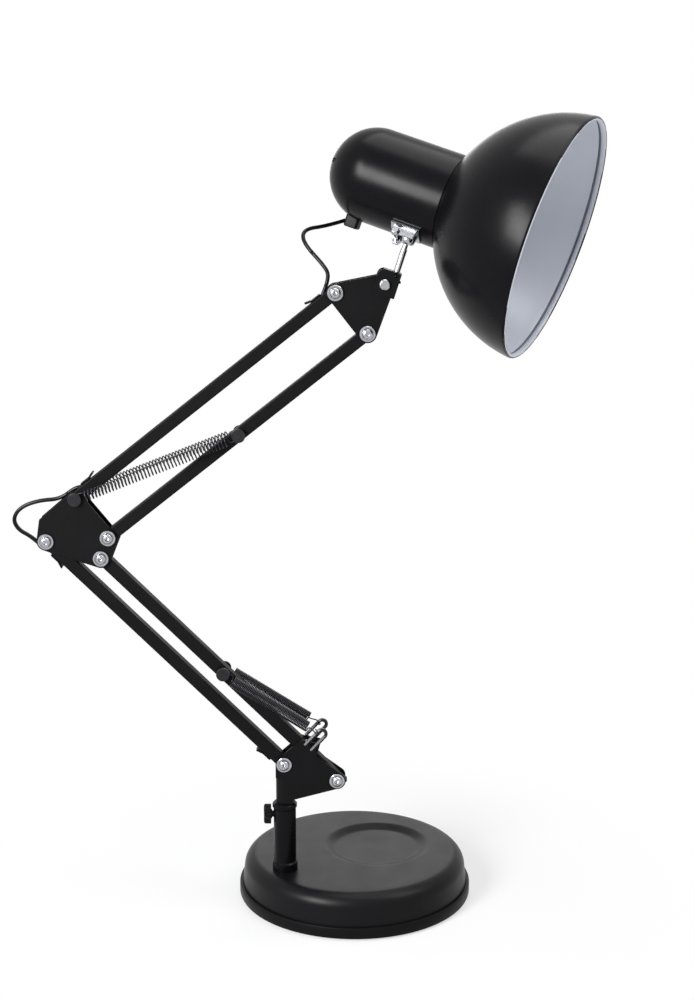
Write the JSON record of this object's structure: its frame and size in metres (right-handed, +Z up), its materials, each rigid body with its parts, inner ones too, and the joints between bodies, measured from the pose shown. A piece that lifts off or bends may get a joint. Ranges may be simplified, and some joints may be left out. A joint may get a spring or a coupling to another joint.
{
  "type": "architect desk lamp",
  "caption": "Architect lamp with a sprung parallelogram arm on a weighted round base and a tilting bell shade on a swivelling rod.",
  "frame": {"origin": "centre of the underside of the round base", "axes": "+Z up, +X to the right along the arm's plane, +Y to the back"},
  "size_m": [0.3617, 0.1853, 0.4996],
  "materials": {
    "felt": "grey-black felt pad",
    "black_plastic": "black moulded plastic",
    "black_paint": "satin black powder coat",
    "iron": "raw casting",
    "steel": "zinc plated steel",
    "chrome": "bright chrome plate",
    "spring_wire": "black coated spring wire",
    "black_screw": "black zinc",
    "shade_paint": "satin black outside, white inside",
    "holder": "white moulded lampholder",
    "brass": "bright brass",
    "lead_skin": "black flexible lead"
  },
  "bodies": {
    "base": {"foot_pad": "felt", "base_rim": "black_plastic", "base_cover": "black_paint", "base_weight": "iron", "post": "black_paint", "post_nut": "steel", "swivel_bush": "black_plastic"},
    "thumb_screw": {"thumb_screw": "black_plastic"},
    "bracket": {"base_bracket": "black_paint", "swivel_pin": "steel", "bracket_bolts": "chrome", "bracket_washers": "black_plastic", "bracket_nuts": "chrome", "spring_anchors": "spring_wire"},
    "lower_cord_bar": {"lower_cord_bar": "black_paint", "lower_cord_clips": "black_plastic", "lower_lead": "lead_skin"},
    "lower_link_bar": {"lower_link_bar": "black_paint", "lower_spring_screw": "black_screw", "lower_spring_front": "spring_wire", "lower_spring_back": "spring_wire"},
    "elbow": {"elbow_plate_front": "black_paint", "elbow_plate_back": "black_paint", "elbow_bolts": "chrome", "elbow_washers": "black_plastic", "elbow_nuts": "chrome", "elbow_spring_screw": "black_screw", "elbow_lead": "lead_skin"},
    "upper_cord_bar": {"upper_cord_bar": "black_paint", "upper_cord_clips": "black_plastic", "upper_lead": "lead_skin", "head_lead": "lead_skin"},
    "upper_link_bar": {"upper_link_bar": "black_paint", "upper_spring_screw": "black_screw", "upper_spring_front": "spring_wire", "upper_spring_back": "spring_wire"},
    "head_plates": {"head_plate_front": "black_paint", "head_plate_back": "black_paint", "head_plate_bolts": "chrome", "head_plate_washers": "black_plastic", "head_plate_nuts": "chrome", "tilt_spacer": "steel"},
    "knuckle": {"knuckle": "black_paint", "tilt_bolt": "chrome"},
    "wing_nut": {"wing_nut": "chrome"},
    "head_rod": {"head_rod": "chrome"},
    "head": {"head_housing": "black_paint", "shade": "shade_paint", "lampholder_body": "holder", "lampholder_shell": "brass", "lampholder_contact": "brass", "lampholder_frame": "steel", "set_screws": "black_screw", "clamp_gasket": "black_plastic", "ball_clamp": "chrome", "clamp_screw": "chrome", "clamp_nut": "chrome", "cord_gland": "black_plastic"}
  },
  "joints": [
    {"name": "post_swivel", "type": "hinge", "parent": "base", "child": "bracket", "pos_m": [-0.0446, -0.029, 0], "axis": [0, 0, 1], "continuous": true},
    {"name": "thumb_screw_turn", "type": "hinge", "parent": "base", "child": "thumb_screw", "pos_m": [-0.0446, -0.029, 0.0647], "axis": [-1, 0, 0], "range_deg": [0, 360]},
    {"name": "lower_arm", "type": "hinge", "parent": "bracket", "child": "lower_cord_bar", "pos_m": [-0.0446, -0.029, 0.09965], "axis": [0, -1, 0], "range_deg": [-75, 12]},
    {"name": "lower_link", "type": "hinge", "parent": "bracket", "child": "lower_link_bar", "pos_m": [-0.01128, -0.029, 0.08893], "axis": [0, -1, 0], "range_deg": [-75, 12], "deforming": ["lower_spring_front", "lower_spring_back"]},
    {"name": "elbow_level", "type": "hinge", "parent": "lower_cord_bar", "child": "elbow", "pos_m": [-0.18919, -0.029, 0.24399], "axis": [0, -1, 0], "range_deg": [-12, 75], "deforming": ["elbow_lead"]},
    {"name": "upper_arm", "type": "hinge", "parent": "elbow", "child": "upper_cord_bar", "pos_m": [-0.17058, -0.029, 0.27041], "axis": [0, -1, 0], "range_deg": [-38, 70]},
    {"name": "upper_link", "type": "hinge", "parent": "elbow", "child": "upper_link_bar", "pos_m": [-0.15131, -0.029, 0.24612], "axis": [0, -1, 0], "range_deg": [-38, 70], "deforming": ["upper_spring_front", "upper_spring_back"]},
    {"name": "head_level", "type": "hinge", "parent": "upper_cord_bar", "child": "head_plates", "pos_m": [-0.01196, -0.029, 0.39549], "axis": [0, -1, 0], "range_deg": [-70, 38]},
    {"name": "knuckle_tilt", "type": "hinge", "parent": "head_plates", "child": "knuckle", "pos_m": [0.01735, -0.029, 0.40051], "axis": [0, -1, 0], "range_deg": [-55, 30]},
    {"name": "wing_nut_turn", "type": "hinge", "parent": "knuckle", "child": "wing_nut", "pos_m": [0.01735, -0.029, 0.40051], "axis": [0, 1, 0], "range_deg": [0, 180]},
    {"name": "rod_swivel", "type": "hinge", "parent": "knuckle", "child": "head_rod", "pos_m": [0.02182, -0.029, 0.39907], "axis": [0.3074, 0, 0.9516], "range_deg": [-120, 120]},
    {"name": "head_tilt", "type": "hinge", "parent": "head_rod", "child": "head", "pos_m": [0.03073, -0.029, 0.42667], "axis": [0.33, 0.9379, -0.1066], "range_deg": [-45, 15], "deforming": ["head_lead"]}
  ],
  "couplings": [
    {"joint": "lower_link", "follows": "lower_arm", "ratio": 1},
    {"joint": "elbow_level", "follows": "lower_arm", "ratio": -1},
    {"joint": "upper_link", "follows": "upper_arm", "ratio": 1},
    {"joint": "head_level", "follows": "upper_arm", "ratio": -1}
  ]
}
